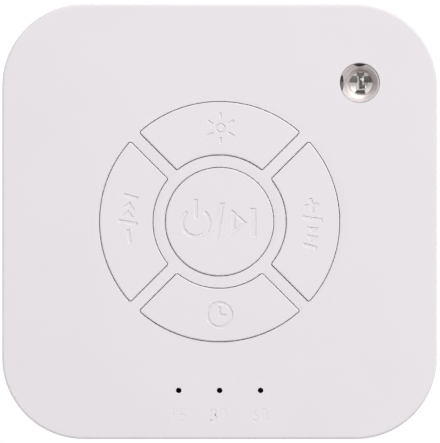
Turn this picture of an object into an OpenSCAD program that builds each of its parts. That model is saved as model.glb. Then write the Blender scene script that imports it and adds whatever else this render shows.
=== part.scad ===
// Table-top sound machine: a rounded-square housing with five keys round a ring, a night light,
// three timer lamps, a rechargeable cell and a loudspeaker that faces down through the base.
// Millimetres. +Z is up and the keys are on top. +Y is the back, where the sockets are.
// The origin is on the surface that the feet stand on, below the middle of the housing.

/* [Housing] */
// Width and depth of the housing
body_w = 94; // [92:0.5:104]
// Height of the top plate above the surface the feet stand on
body_h = 50; // [48:0.5:60]
// Radius of the four upright corners
corner_r = 17.6; // [16:0.2:20]
// Rounding of the top edge
top_edge_r = 0.6; // [0.4:0.1:1.8]
// Rounding of the bottom edge
bottom_edge_r = 1.2; // [0.4:0.1:1.6]
// Thickness of the side walls
wall = 2; // [1.8:0.1:2.4]
// Thickness of the top plate
plate_t = 2; // [1.6:0.1:2.4]
// Thickness of the base floor
floor_t = 2.2; // [1.8:0.1:2.8]
// Height of the seam between the two housing halves
seam_z = 12; // [10.5:0.5:15]
// Shadow gap that shows at the seam
seam_gap = 0.3; // [0.1:0.05:0.5]
// Height of the lip that locates the halves
lip_h = 1.5; // [1:0.1:2]
// Thickness of the lip
lip_t = 0.9; // [0.7:0.05:1]
// Clearance round the lip
lip_gap = 0.15; // [0.1:0.05:0.25]

/* [Keys] */
// Radius of the round middle key
power_key_r = 11.66; // [10.5:0.01:12.5]
// Outer radius of the ring of four keys
key_ring_r = 25.89; // [25:0.01:26.4]
// Width of the plate left standing between two openings
band_w = 2.55; // [2.3:0.05:2.8]
// Gap between a key and its opening
key_gap = 0.14; // [0.1:0.01:0.3]
// Corner radius of the four ring keys
key_corner_r = 0.4; // [0.3:0.05:1]
// How far the keys stand above the top plate
key_proud = 0.4; // [0.2:0.05:0.8]
// Thickness of a key's face
key_face_t = 1.6; // [1.2:0.1:1.8]
// Thickness of a key's skirt
skirt_t = 1.1; // [0.8:0.1:1.3]
// Thickness of the flange that holds a key in
flange_t = 0.9; // [0.7:0.1:1.2]
// Width of that flange beyond the key
flange_w = 0.9; // [0.6:0.05:0.95]
// Gap between the flange and the plate above it
flange_gap = 0.1; // [0.05:0.01:0.2]
// Radius of the post under each key
post_r = 2.1; // [1.6:0.1:2.3]
// Distance of the ring keys' posts from the middle
post_ring_r = 20.2; // [19.5:0.1:21]
// Travel of a key
key_travel = 0.7; // [0.4:0.05:0.8]
// Depth of the sunk symbols on the keys
symbol_depth = 0.12; // [0.08:0.01:0.4]
// Width of the symbols' strokes
stroke_w = 0.95; // [0.7:0.05:1.1]

/* [Keypad] */
// Thickness of the silicone mat
mat_t = 0.8; // [0.6:0.1:1]
// Radius of the mat
mat_r = 30.2; // [29.8:0.1:31]
// Height of a dome above the mat
dome_h = 2.2; // [2:0.1:2.6]
// Radius of a dome at its foot
dome_r = 4.9; // [4.6:0.1:5.2]
// Thickness of a dome's web
web_t = 0.4; // [0.3:0.05:0.5]
// Gap between a dome and its key post
press_gap = 0.1; // [0.05:0.01:0.15]
// Radius of the pins that locate the mat
mat_pin_r = 0.9; // [0.7:0.05:1.1]
// Distance of these pins from the middle
mat_pin_ring_r = 28.4; // [28.3:0.1:28.6]

/* [Board] */
// Distance from the top plate's face down to the board's upper face
board_depth = 9.6; // [9.2:0.1:9.8]
// Thickness of the board
board_t = 1.6; // [1.2:0.1:2]
// Gap between the board's sides and the walls
board_gap = 3; // [1.5:0.5:3.5]
// Gap between the board's back edge and the back wall
board_back_gap = 0.5; // [0.3:0.1:0.8]
// Board screws: distance from the middle, sideways
board_screw_x = 36; // [34.5:0.5:37]
// Board screws: distance from the middle, front to back
board_screw_y = 16; // [13:0.5:18]
// Shank radius of a board screw
board_screw_r = 1; // [0.8:0.05:1.1]
// Radius of a board screw's boss
board_boss_r = 2.6; // [2.2:0.1:3]

/* [Night light] */
// Distance of the light from the right-hand side
light_inset_x = 16.7; // [16:0.1:18]
// Distance of the light from the back
light_inset_y = 17; // [16:0.1:18]
// Radius of the light hole
light_hole_r = 4.3; // [4.1:0.05:4.6]
// Radius of the clear lamp
lens_r = 2.5; // [2.3:0.05:2.6]
// Height of the clear lamp above the board
lens_h = 8.6; // [8.2:0.1:8.8]
// How far the lamp sits to the right of the hole's middle
lens_shift = 0.35; // [0:0.05:0.4]
// How far the cup's rim lies below the plate's face
cup_drop = 0.4; // [0.2:0.05:0.6]
// Clearance between the cup and its hole
cup_gap = 0.08; // [0.05:0.01:0.15]
// Depth of the two notches in the cup's rim
notch_depth = 3; // [1:0.1:3.4]

/* [Timer] */
// Distance of the timer holes from the front
timer_inset = 10.5; // [10:0.1:11.5]
// Distance between the timer holes
timer_pitch = 8.85; // [8:0.05:9.5]
// Radius of a timer hole
timer_hole_r = 0.6; // [0.4:0.05:0.9]
// Distance of the numbers from the front
number_inset = 5.15; // [4.8:0.05:5.6]
// Height of the numbers
number_h = 3; // [2.6:0.1:3.2]
// Depth of the numbers
number_depth = 0.08; // [0.05:0.01:0.3]

/* [Loudspeaker] */
// Width of the loudspeaker's square frame
speaker_w = 52; // [50:0.5:54]
// Corner radius of that frame
speaker_corner_r = 8.5; // [8:0.5:10]
// Distance of the frame's screws from the middle, both ways
speaker_screw_xy = 21.5; // [21.5:0.1:22]
// Outer radius of the round seat under the frame
seat_r = 25; // [24.6:0.1:25.4]
// Height of that seat above the floor
seat_h = 2.6; // [2.4:0.1:3.2]
// Thickness of the foam gasket
gasket_t = 0.8; // [0.6:0.1:1]
// Radius of the cone
cone_r = 17.4; // [17:0.1:17.6]
// Depth of the frame behind its flange
basket_h = 8.3; // [8.2:0.1:9]
// Radius of the voice coil's former
coil_r = 6.3; // [6:0.1:6.5]
// Radius of the ring magnet
magnet_r = 16; // [15:0.5:17]
// Thickness of the ring magnet
magnet_t = 6; // [5:0.5:7]
// Radius of a grille hole
grille_hole_r = 0.9; // [0.6:0.05:1.1]
// Distance between the rings of grille holes
grille_pitch = 3.1; // [3:0.05:3.3]
// Number of rings of grille holes
grille_rings = 6; // [4:1:6]

/* [Battery] */
// Width of the cell
cell_w = 50; // [44:1:54]
// Length of the cell, front to back
cell_l = 34; // [28:1:38]
// Thickness of the cell
cell_t = 6; // [4.5:0.5:7.5]
// Thickness of the foam tape
tape_t = 1; // [0.6:0.1:1.4]

/* [Sockets] */
// Distance of the charging socket from the middle
usb_x = 13; // [11:0.5:16]
// Distance of the headphone jack from the middle
jack_x = 13; // [11:0.5:16]
// Radius of the jack's bore
jack_bore_r = 1.8; // [1.78:0.01:1.85]
// Depth of the jack's bore
jack_bore_l = 12; // [11:0.5:13]
// How far the sockets' mouths lie inside the back face
socket_drop = 0.3; // [0.1:0.1:0.6]

/* [Feet and screws] */
// Radius of a foot
foot_r = 6; // [5:0.25:6.5]
// Thickness of a foot
foot_t = 2.2; // [1.8:0.1:2.6]
// How far a foot stands out of the base
foot_proud = 1.2; // [0.8:0.1:1.4]
// Distance of a foot from the sides
foot_inset = 17.6; // [17:0.2:19]
// Shank radius of a housing screw
screw_r = 1.4; // [1.2:0.05:1.5]
// Length of a housing screw's shank
screw_l = 16; // [12:0.5:18]
// Radius of a housing screw's head
screw_head_r = 2.7; // [2.4:0.1:2.8]
// Radius of a housing screw's boss
boss_r = 3.25; // [3:0.05:3.4]

/* [Hidden] */
$fn = 96;
over = 0.5;    // how far a cut runs past the face it opens
half = body_w / 2;
corner_at = half - corner_r;

// heights, from the top plate down
top_z = body_h;
plate_z = top_z - plate_t;
key_top_z = top_z + key_proud;
flange_top_z = plate_z - flange_gap;
flange_z = flange_top_z - flange_t;
board_z = top_z - board_depth;
under_z = board_z - board_t;
mat_z = board_z + mat_t;
dome_z = mat_z + dome_h;
post_z = dome_z + press_gap;

// heights, from the base up
base_z = foot_proud;
floor_z = base_z + floor_t;
seat_z = floor_z + seat_h;
speaker_z = seat_z + gasket_t;
frame_t = 0.8;
ledge_t = 0.8;
ledge_z = speaker_z + basket_h;
front_plate_z = ledge_z + ledge_t;
front_plate_t = 2;
magnet_z = front_plate_z + front_plate_t;
yoke_z = magnet_z + magnet_t;
yoke_t = 2;

// key outlines
power_hole_r = power_key_r + key_gap;
side_in_r = power_hole_r + band_w + key_gap;
spoke_edge = band_w / 2 + key_gap;
ring_mid_r = (side_in_r + key_ring_r) / 2;

// screws that join the halves
boss_gap = 0.35;
boss_at = corner_at + (corner_r - wall - boss_r - boss_gap) / sqrt(2);
pillar_r = boss_r + 0.95;
pillar_z = seam_z - 3;
screw_web = 2;
head_room = 0.3;
head_h = 2;
thread_gap = 0.03;

// places
light_at = [half - light_inset_x, half - light_inset_y];
lamp_at = light_at + [lens_shift, 0];
timer_y = timer_inset - half;
number_y = number_inset - half;
board_x = half - wall - board_gap;
board_back = half - wall - board_back_gap;
board_corner = 2 * boss_at - sqrt(2) * (boss_r + 0.8);
cell_z = under_z - tape_t - cell_t;
cell_end = cell_w / 2;
plug_size = [5.4, 7, 6.5];
socket_t = 1.6;
socket_h = 4.4;
plug_room = 3;    // between the cell's end and the sockets
plug_x = cell_end + plug_room + (plug_size.x + socket_t) / 2;
plug_drop = 0.9;
plug_z = under_z - plug_drop - plug_size.z;
wire_r = 0.6;
wire_y = 1.25;
key_angles = [90, 270, 180, 0];    // light, timer, previous, next

// ---- outlines ----

function arc(centre, r, from, to, steps) =
    [for (i = [0:steps]) let (a = from + (to - from) * i / steps) centre + r * [cos(a), sin(a)]];

function flipped(points) = [for (i = [len(points) - 1:-1:0]) [points[i].x, -points[i].y]];

// One of the four ring keys, pointing along +X: two arcs joined by edges that run parallel to the
// diagonals, with every corner rounded
function ring_key_points(r_in, r_out, edge, r_corner) =
    let (
        turn_out = 45 - asin((edge + r_corner) / (r_out - r_corner)),
        turn_in = 45 - asin((edge + r_corner) / (r_in + r_corner)),
        outer = (r_out - r_corner) * [cos(turn_out), sin(turn_out)],
        inner = (r_in + r_corner) * [cos(turn_in), sin(turn_in)],
        upper = concat(
            arc([0, 0], r_out, turn_out / 18, turn_out * 17 / 18, 16),
            arc(outer, r_corner, turn_out, 135, 6),
            arc(inner, r_corner, 135, 180 + turn_in, 8),
            arc([0, 0], r_in, turn_in * 11 / 12, turn_in / 12, 10)))
    concat(upper, flipped(upper));

module ring_key_outline(grow) {
    polygon(ring_key_points(side_in_r - grow, key_ring_r + grow, spoke_edge - grow,
        max(key_corner_r + grow, 0.3)));
}

module rounded_square(w, r) {
    square([w, w - 2 * r], center = true);
    square([w - 2 * r, w], center = true);
    for (x = [-1, 1], y = [-1, 1])
        translate([x, y] * (w / 2 - r)) circle(r);
}

// Runs a section round the housing: x is measured outwards from the corner's centre, y is height
module around_housing() {
    for (i = [0:3]) rotate(90 * i) {
        translate([corner_at, corner_at, 0]) rotate_extrude(angle = 90) children();
        translate([corner_at, corner_at, 0]) rotate([90, 0, 0])
            linear_extrude(2 * corner_at) children();
    }
}

module rod(r, z0, z1) {
    translate([0, 0, z0]) cylinder(r = r, h = z1 - z0);
}

module tube(r_out, r_in, z0, z1) {
    difference() {
        rod(r_out, z0, z1);
        rod(r_in, z0 - over, z1 + over);
    }
}

module block(size, z0) {
    translate([-size.x / 2, -size.y / 2, z0]) cube(size);
}

module at_corners(x, y) {
    for (sx = [-1, 1], sy = [-1, 1]) translate([sx * x, sy * y, 0]) children();
}

// A wire in an upright plane at one y: rings of eight points along a smooth curve through its route
function along(route, t) =
    let (
        n = len(route) - 1,
        i = min(floor(t), n - 1),
        f = t - i,
        p0 = route[max(i - 1, 0)],
        p1 = route[i],
        p2 = route[i + 1],
        p3 = route[min(i + 2, n)])
    ((2 * p1) + (p2 - p0) * f + (2 * p0 - 5 * p1 + 4 * p2 - p3) * f * f
        + (3 * p1 - p0 - 3 * p2 + p3) * f * f * f) / 2;

module wire(route, y) {
    sides = 8;
    per_leg = 5;
    n = (len(route) - 1) * per_leg;
    places = [for (i = [0:n]) along(route, i / per_leg)];
    rings = [for (i = [0:n])
        let (
            way = places[min(i + 1, n)] - places[max(i - 1, 0)],
            side = [-way.y, way.x] / norm(way))
        for (k = [0:sides - 1])
            let (a = 360 * k / sides, out = places[i] + wire_r * cos(a) * side)
            [out.x, y + wire_r * sin(a), out.y]];
    walls = [for (i = [0:n - 1], k = [0:sides - 1])
        let (a = i * sides + k, b = i * sides + (k + 1) % sides)
        [a, a + sides, b + sides, b]];
    polyhedron(rings, concat(walls, [[for (k = [0:sides - 1]) k]],
        [[for (k = [sides - 1:-1:0]) n * sides + k]]), convexity = 4);
}

// ---- sunk symbols ----

module ring_symbol(r, w) {
    difference() {
        circle(r);
        circle(r - w);
    }
}

module bar(w, h) {
    square([w, h], center = true);
}

module leaning_bar(w, h, lean) {
    polygon([[-w / 2 - lean, -h / 2], [w / 2 - lean, -h / 2], [w / 2 + lean, h / 2], [-w / 2 + lean, h / 2]]);
}

module arrow_head(w, h) {
    polygon([[-w / 2, -h / 2], [w / 2, 0], [-w / 2, h / 2]]);
}

module power_symbol() {
    r = 3.44;
    opening = 37;    // half the angle left open at the top
    reach = 6;
    difference() {
        ring_symbol(r, stroke_w);
        polygon([[0, 0], reach * [sin(opening), cos(opening)], reach * [-sin(opening), cos(opening)]]);
    }
    translate([0, 3]) bar(stroke_w, 4.4);
}

module play_symbol() {
    difference() {
        arrow_head(3.5, 6.2);
        translate([-0.1, 0]) arrow_head(1.3, 2.3);
    }
    translate([3, 0]) bar(1.5, 6.4);
}

module power_legend() {
    translate([-5.15, -0.24]) power_symbol();
    translate([-0.19, -0.04]) leaning_bar(1.3, 8.4, 0.72);
    translate([4.24, -0.2]) play_symbol();
}

module light_legend() {
    ring_symbol(1.15, 0.5);
    for (i = [0:5]) rotate(60 * i + 30) translate([2.65, 0]) bar(1.6, 0.6);
}

module timer_legend() {
    hand_w = 0.65;
    ring_symbol(3, 0.75);
    translate([0, 0.8]) bar(hand_w, 2.1);
    translate([0.6, 0]) bar(1.7, hand_w);
}

// Puts a mark on a row that bends round the ring, at a distance s from the row's middle
module on_row(r, s, heading) {
    rotate(-heading * s / r * 180 / PI) translate([r, 0]) rotate(-90 * heading) children();
}

module previous_legend() {
    r = ring_mid_r - 0.35;
    rotate(180) {
        on_row(r, -5.4, -1) bar(stroke_w, 3.3);
        for (s = [-3.6, -1.8]) on_row(r, s, -1) mirror([1, 0]) arrow_head(1.6, 2.9);
        on_row(r, 0.2, -1) leaning_bar(stroke_w, 4.4, 0.38);
        on_row(r, 3.2, -1) bar(3.2, stroke_w);
    }
}

module next_legend() {
    r = ring_mid_r;
    on_row(r, -3.5, 1) {
        bar(3.3, stroke_w);
        bar(stroke_w, 3.3);
    }
    on_row(r, -0.6, 1) leaning_bar(stroke_w, 4.4, 0.38);
    for (s = [1.9, 3.7]) on_row(r, s, 1) arrow_head(1.6, 2.9);
    on_row(r, 5.4, 1) bar(stroke_w, 3.3);
}

// ---- numbers ----

module bent_stroke(r, w, from, to) {
    reach = 3 * r;
    difference() {
        ring_symbol(r, w);
        polygon(concat([[0, 0]], arc([0, 0], reach, to, from + 360, 4)));
    }
}

module digit(n) {
    w = 0.4;
    h = number_h;
    if (n == 1) {
        translate([0, h / 2]) bar(w, h);
        translate([-0.25, h - 0.55]) rotate(40) bar(w + 0.35, 0.32);
    }
    if (n == 5) {
        translate([0.05, h - w / 2]) bar(1.4, w);
        translate([-0.45, h * 0.73]) bar(w, h * 0.5);
        translate([-0.05, 0.95]) bent_stroke(0.95, w, -140, 118);
    }
    if (n == 3) {
        translate([-0.05, h - 0.8]) bent_stroke(0.8, w, -75, 160);
        translate([-0.05, 0.9]) bent_stroke(0.9, w, -160, 78);
    }
    if (n == 0) difference() {
        union() {
            for (y = [0.8, h - 0.8]) translate([0, y]) circle(0.8);
            translate([0, h / 2]) bar(1.6, h - 1.6);
        }
        for (y = [0.8, h - 0.8]) translate([0, y]) circle(0.8 - w);
        translate([0, h / 2]) bar(1.6 - 2 * w, h - 1.6);
    }
    if (n == 6) {
        translate([0, 0.85]) ring_symbol(0.85, w);
        polygon([[-0.84, 0.95], [-0.44, 0.95], [0.5, h], [0.02, h]]);
    }
}

module timer_numbers() {
    pair = 2.05;
    for (i = [0:2]) translate([(i - 1) * timer_pitch - 0.25, number_y - number_h / 2]) {
        translate([-pair / 2, 0]) digit([1, 3, 6][i]);
        translate([pair / 2, 0]) digit([5, 0, 0][i]);
    }
}

// ---- housing ----

module top_section() {
    difference() {
        union() {
            translate([0, seam_z]) square([corner_r, top_z - top_edge_r - seam_z]);
            translate([0, plate_z]) square([corner_r - top_edge_r, plate_t]);
            translate([corner_r - top_edge_r, top_z - top_edge_r]) circle(top_edge_r);
        }
        translate([-over, seam_z - over]) square([corner_r - wall + over, plate_z - seam_z + over]);
        translate([0, seam_z - over]) square([corner_r - wall + lip_t + lip_gap, lip_h + over]);
    }
}

module key_openings() {
    translate([0, 0, plate_z - over]) {
        cylinder(r = power_hole_r, h = plate_t + 2 * over);
        for (a = key_angles) rotate(a) linear_extrude(plate_t + 2 * over) ring_key_outline(key_gap);
    }
}

usb_w = 7.6;
usb_h = 2.7;
usb_gap = 0.3;
usb_mid_z = under_z - usb_h / 2;
jack_w = 6.4;
jack_h = 5;
jack_nose_r = 2.9;
jack_gap = 0.25;
jack_mid_z = under_z - jack_nose_r - 0.05;
socket_y = half - socket_drop;

module usb_outline(grow) {
    w = usb_w / 2 + grow;
    h = usb_h / 2 + grow;
    cut = 0.8;
    polygon([[-w, h], [w, h], [w, -h + cut + 0.3], [w - cut, -h], [-w + cut, -h], [-w, -h + cut + 0.3]]);
}

module socket_openings() {
    translate([-usb_x, half - wall - over, usb_mid_z]) rotate([-90, 0, 0]) mirror([0, 1])
        linear_extrude(wall + 2 * over) usb_outline(usb_gap);
    translate([jack_x, half - wall - over, jack_mid_z]) rotate([-90, 0, 0])
        cylinder(r = jack_nose_r + jack_gap, h = wall + 2 * over);
}

module screw_bosses() {
    web_w = 1.4;
    at_corners(boss_at, boss_at) rod(boss_r, pillar_z, plate_z + over);
    for (i = [0:3]) rotate(45 + 90 * i)
        translate([sqrt(2) * boss_at, -web_w / 2, seam_z + lip_h + 0.5])
            cube([boss_r + boss_gap + over, web_w, plate_z - seam_z - lip_h]);
    at_corners(board_screw_x, board_screw_y) rod(board_boss_r, board_z, plate_z + over);
    for (i = [0:3]) rotate(45 + 90 * i) translate([mat_pin_ring_r, 0, 0])
        rod(mat_pin_r, board_z, plate_z + over);
}

module top_shell() {
    color("#E6E2E5") difference() {
        union() {
            around_housing() top_section();
            block([2 * corner_at, 2 * corner_at, plate_t], plate_z);
            screw_bosses();
        }
        key_openings();
        translate(light_at) rod(light_hole_r, plate_z - over, top_z + over);
        for (i = [-1:1]) translate([i * timer_pitch, timer_y])
            rod(timer_hole_r, plate_z - over, top_z + over);
        translate([0, 0, top_z - number_depth]) linear_extrude(number_depth + over) timer_numbers();
        socket_openings();
        at_corners(boss_at, boss_at)
            rod(screw_r + thread_gap, pillar_z - over, pillar_z + screw_l - screw_web + 1);
        at_corners(board_screw_x, board_screw_y)
            rod(board_screw_r + thread_gap, board_z - over, plate_z - 1);
    }
}

module base_section() {
    difference() {
        union() {
            translate([0, base_z + bottom_edge_r])
                square([corner_r, seam_z - seam_gap - base_z - bottom_edge_r]);
            translate([0, base_z]) square([corner_r - bottom_edge_r, floor_t]);
            translate([corner_r - bottom_edge_r, base_z + bottom_edge_r]) circle(bottom_edge_r);
            translate([corner_r - wall, floor_z]) square([lip_t, seam_z + lip_h - floor_z]);
        }
        translate([-over, floor_z])
            square([corner_r - wall + over, seam_z + lip_h - floor_z + over]);
    }
}

module grille_holes() {
    rod(grille_hole_r, base_z - over, floor_z + over);
    for (ring = [1:grille_rings], i = [0:6 * ring - 1])
        rotate(i * 60 / ring) translate([ring * grille_pitch, 0, 0])
            rod(grille_hole_r, base_z - over, floor_z + over);
}

seat_w = 3.7;
seat_in_r = seat_r - seat_w;
speaker_boss_r = 2.9;
speaker_screw_r = 1.05;
foot_gap = 0.15;

module base_cover() {
    color("#E3DFE2") difference() {
        union() {
            around_housing() base_section();
            block([2 * corner_at, 2 * corner_at, floor_t], base_z);
            at_corners(boss_at, boss_at) rod(pillar_r, floor_z - over, pillar_z);
            tube(seat_r, seat_in_r, floor_z - over, seat_z);
            at_corners(speaker_screw_xy, speaker_screw_xy) rod(speaker_boss_r, floor_z - over, speaker_z);
        }
        grille_holes();
        at_corners(boss_at, boss_at) {
            rod(screw_head_r + head_room, base_z - over, pillar_z - screw_web);
            rod(screw_r + head_room, base_z, pillar_z + over);
        }
        at_corners(half - foot_inset, half - foot_inset)
            rod(foot_r + foot_gap, base_z - over, foot_t);
        at_corners(speaker_screw_xy, speaker_screw_xy)
            rod(speaker_screw_r + thread_gap, floor_z, speaker_z + over);
    }
}

module foot(sx, sy) {
    edge = 0.5;
    color("#55565A") translate([sx, sy] * (half - foot_inset)) rotate_extrude() {
        square([foot_r - edge, foot_t]);
        translate([0, edge]) square([foot_r, foot_t - edge]);
        translate([foot_r - edge, edge]) circle(edge);
    }
}

// ---- screws ----

// A cross-headed tapping screw that points up, with its head's seat at z = 0
module screw(r, l, head_r, h) {
    ridge = 0.18;
    pitch = 1;
    turns = floor((l - 1.5) / pitch);
    difference() {
        union() {
            rod(head_r, -h, 0);
            rotate_extrude() polygon(concat([[0, 0], [r - ridge, 0]],
                [for (i = [0:turns - 1], k = [0, 1])
                    [r - ridge * (1 - k), (i + k / 2 + 0.4) * pitch]],
                [[r - ridge, l - 1], [0, l]]));
        }
        for (a = [0, 90]) rotate(a)
            block([head_r * 1.1, head_r * 0.28, h * 0.5 + over], -h - over);
    }
}

module housing_screws() {
    color("#9EA1A5") at_corners(boss_at, boss_at) translate([0, 0, pillar_z - screw_web])
        screw(screw_r, screw_l, screw_head_r, head_h);
}

module board_screws() {
    color("#9EA1A5") at_corners(board_screw_x, board_screw_y) translate([0, 0, under_z])
        screw(board_screw_r, board_screw_l, 1.9, 1.3);
}

module speaker_screws() {
    color("#9EA1A5") at_corners(speaker_screw_xy, speaker_screw_xy)
        translate([0, 0, speaker_z + frame_t]) mirror([0, 0, 1])
            screw(speaker_screw_r, speaker_z + frame_t - floor_z - 0.4, 2.1, 1.4);
}

// ---- keys ----

module key_faces(mark_depth = symbol_depth) {
    translate([0, 0, key_top_z - mark_depth]) linear_extrude(mark_depth + over) children();
}

module power_key() {
    color("#E6E2E5") difference() {
        union() {
            rod(power_key_r, flange_z, key_top_z);
            rod(power_key_r + flange_w, flange_z, flange_top_z);
        }
        difference() {
            rod(power_key_r - skirt_t, flange_z - over, key_top_z - key_face_t);
            for (a = [0, 90]) rotate(a) block([2 * power_key_r, 1, plate_t + key_proud], flange_z);
        }
        key_faces() power_legend();
    }
    color("#E6E2E5") rod(post_r, post_z, key_top_z - key_face_t + 0.2);
}

module ring_key(a, mark = 0) {
    color("#E6E2E5") difference() {
        rotate(a) union() {
            translate([0, 0, flange_z]) linear_extrude(key_top_z - flange_z) ring_key_outline(0);
            translate([0, 0, flange_z]) linear_extrude(flange_t) ring_key_outline(flange_w);
            translate([post_ring_r, 0, 0]) rod(post_r, post_z, flange_z + over);
        }
        rotate(a) difference() {
            translate([0, 0, flange_z - over])
                linear_extrude(key_top_z - key_face_t - flange_z + over) ring_key_outline(-skirt_t);
            translate([post_ring_r, 0, 0]) rod(post_r, flange_z - 2 * over, key_top_z);
            for (side = [-1, 1]) rotate(20 * side)
                translate([0, -0.5, flange_z]) cube([key_ring_r, 1, plate_t + key_proud]);
        }
        key_faces() children();
    }
}

module light_key() {
    ring_key(90) translate([0.2, ring_mid_r]) light_legend();
}

module timer_key() {
    ring_key(270) translate([0, -ring_mid_r]) timer_legend();
}

module previous_key() {
    ring_key(180) previous_legend();
}

module next_key() {
    ring_key(0) next_legend();
}

// ---- keypad ----

dome_foot_w = 1;
dome_foot_t = 0.4;
contact_t = 0.06;

module dome(place) {
    boss_w = post_r + 0.2;
    pill_r = boss_w - 0.6;
    pill_z = board_z + contact_t + key_travel - press_gap;
    web_top = mat_z + 0.64 * dome_h;
    foot_in = dome_r - dome_foot_w;
    color("#C9CCD0") translate(place) {
        tube(dome_r, foot_in, mat_z, mat_z + dome_foot_t);
        rotate_extrude() polygon([[foot_in, mat_z], [foot_in + web_t, mat_z + dome_foot_t],
            [boss_w, web_top], [boss_w, dome_z], [0, dome_z], [0, pill_z], [pill_r, pill_z],
            [pill_r, web_top - web_t], [foot_in - web_t, mat_z]]);
    }
}

function ring_place(a) = post_ring_r * [cos(a), sin(a)];

module power_dome() {
    dome([0, 0]);
}

module light_dome() {
    dome(ring_place(key_angles[0]));
}

module timer_dome() {
    dome(ring_place(key_angles[1]));
}

module previous_dome() {
    dome(ring_place(key_angles[2]));
}

module next_dome() {
    dome(ring_place(key_angles[3]));
}

module keypad_mat() {
    hole_r = dome_r - dome_foot_w;
    color("#C9CCD0") difference() {
        rod(mat_r, board_z, mat_z);
        rod(hole_r, board_z - over, mat_z + over);
        for (a = key_angles) translate(ring_place(a)) rod(hole_r, board_z - over, mat_z + over);
        for (i = [0:3]) rotate(45 + 90 * i) translate([mat_pin_ring_r, 0, 0])
            rod(mat_pin_r + 0.1, board_z - over, mat_z + over);
    }
}

module key_contacts() {
    contact_r = 1.8;
    split = 0.4;
    color("#C8A75A") for (place = concat([[0, 0]], [for (a = key_angles) ring_place(a)]))
        translate(place) difference() {
            rod(contact_r, board_z, board_z + contact_t);
            block([split, 2 * (contact_r + over), 2 * over], board_z - over);
        }
}

// ---- board ----

module board_outline() {
    x = board_x;
    f = -board_x;
    b = board_back;
    c = board_corner;
    polygon([[x, x - c], [x, c - x], [c - b, b], [b - c, b],
        [-x, c - x], [-x, x - c], [x - c, f], [c - x, f]]);
}

lead_r = 0.3;
lead_pitch = 1.27;
lead_hole_gap = 0.1;
board_screw_gap = 0.2;
board_screw_l = 5.5;

module main_board() {
    color("#E6E5E1") difference() {
        translate([0, 0, under_z]) linear_extrude(board_t) board_outline();
        at_corners(board_screw_x, board_screw_y)
            rod(board_screw_r + board_screw_gap, under_z - over, board_z + over);
        for (i = [-1:1]) translate([lamp_at.x + i * lead_pitch, lamp_at.y])
            rod(lead_r + lead_hole_gap, under_z - over, board_z + over);
    }
}

pin_pitch = 1.27;
chip_size = [5, 4, 1.6];
wide_chip_size = [10, 4, 1.6];
leg_size = [0.4, 1.1, 0.5];
chip_row_y = -cell_l / 2 - 10;
small_size = [2, 1.25, 0.6];    // resistors and capacitors
choke_size = [6, 6, 3];
can_r = 2.5;
can_h = 5.5;
can_x = 20;
can_pitch = 6;
front_row = [-20, 7];     // first place and pitch of the small parts near the front
back_row = [-6, 5];       // and near the back
row_gap = 7;
row_step = 1.5;
choke_gap = 11;

module chip(x, size, pins) {
    color("#2B2C2E") translate([x, chip_row_y, 0]) block(size, under_z - size.z);
    leg_y = (size.y + leg_size.y - 0.2) / 2;
    color("#B9BCC0") for (i = [0:pins - 1], s = [-1, 1])
        translate([x + (i - (pins - 1) / 2) * pin_pitch, chip_row_y + s * leg_y, 0])
            block(leg_size, under_z - leg_size.z);
}

module sound_chip() {
    chip(-17, wide_chip_size, 8);
}

module memory_chip() {
    chip(-2, chip_size, 4);
}

module amplifier_chip() {
    chip(11, chip_size, 4);
}

// A row of small parts that step to and fro
module small_parts(row, count, y) {
    color("#B49A6C") for (i = [0:count - 1])
        translate([row[0] + row[1] * i, y + row_step * (i % 2)])
            block(small_size, under_z - small_size.z);
}

module board_components() {
    color("#4A4D55") for (i = [0, 1])
        translate([can_x + i * can_pitch, chip_row_y + 1]) rod(can_r, under_z - can_h, under_z);
    small_parts(front_row, 6, chip_row_y - row_gap);
    small_parts(back_row, 4, cell_l / 2 + row_gap + 1);
    color("#3A3B3E") translate([-usb_x, cell_l / 2 + choke_gap])
        block(choke_size, under_z - choke_size.z);
}

lamp_size = [2, 1.25, 0.8];
baffle_w = 4.4;
baffle_bore_r = 1.5;

module timer_lamps() {
    color("#F1E9C8") for (i = [-1:1]) translate([i * timer_pitch, timer_y])
        block(lamp_size, board_z);
}

module timer_baffle() {
    color("#232325") difference() {
        translate([0, timer_y])
            block([2 * (timer_pitch + baffle_bore_r + 1), baffle_w, plate_z - board_z], board_z);
        for (i = [-1:1]) translate([i * timer_pitch, timer_y])
            rod(baffle_bore_r, board_z - over, plate_z + over);
    }
}

// ---- night light ----

cup_r = light_hole_r - cup_gap;
cup_depth = 4;    // below the plate's underside
cup_foot_z = plate_z - cup_depth;
cup_top_z = top_z - cup_drop;
cup_rim = 0.2;
cup_wall = 0.4;
cup_flange_w = 1.3;
cup_flange_t = 1;
lens_gap = 0.1;
bowl_ledge = 0.08;    // least width of the bowl's floor round the lamp

// A notch at the cup's rim: place of its cutting circle from the cup's middle, and that circle's radius
module cup_notch(angle, distance, r) {
    rotate(angle) translate([distance, 0, 0]) rod(r, cup_top_z - notch_depth, top_z);
}

module light_cup() {
    mouth_r = cup_r - cup_rim;
    bowl_r = lens_r + lens_gap + lens_shift + bowl_ledge;
    bowl_z = cup_foot_z + 1;
    skirt_r = cup_r + cup_wall;
    flange_r = cup_r + cup_flange_w;
    flange_under = plate_z - cup_flange_t;
    color("#E9E6E8") translate(light_at) difference() {
        rotate_extrude() polygon([[0, cup_foot_z], [skirt_r, cup_foot_z], [skirt_r, flange_under],
            [flange_r, flange_under], [flange_r, plate_z], [cup_r, plate_z], [cup_r, cup_top_z],
            [mouth_r, cup_top_z], [bowl_r, bowl_z], [0, bowl_z]]);
        translate([lens_shift, 0]) rod(lens_r + lens_gap, cup_foot_z - over, bowl_z + over);
        cup_notch(90, cup_r + 1.6, 2.24);
        cup_notch(180, cup_r + 3.22, 4.06);
    }
}

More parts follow.
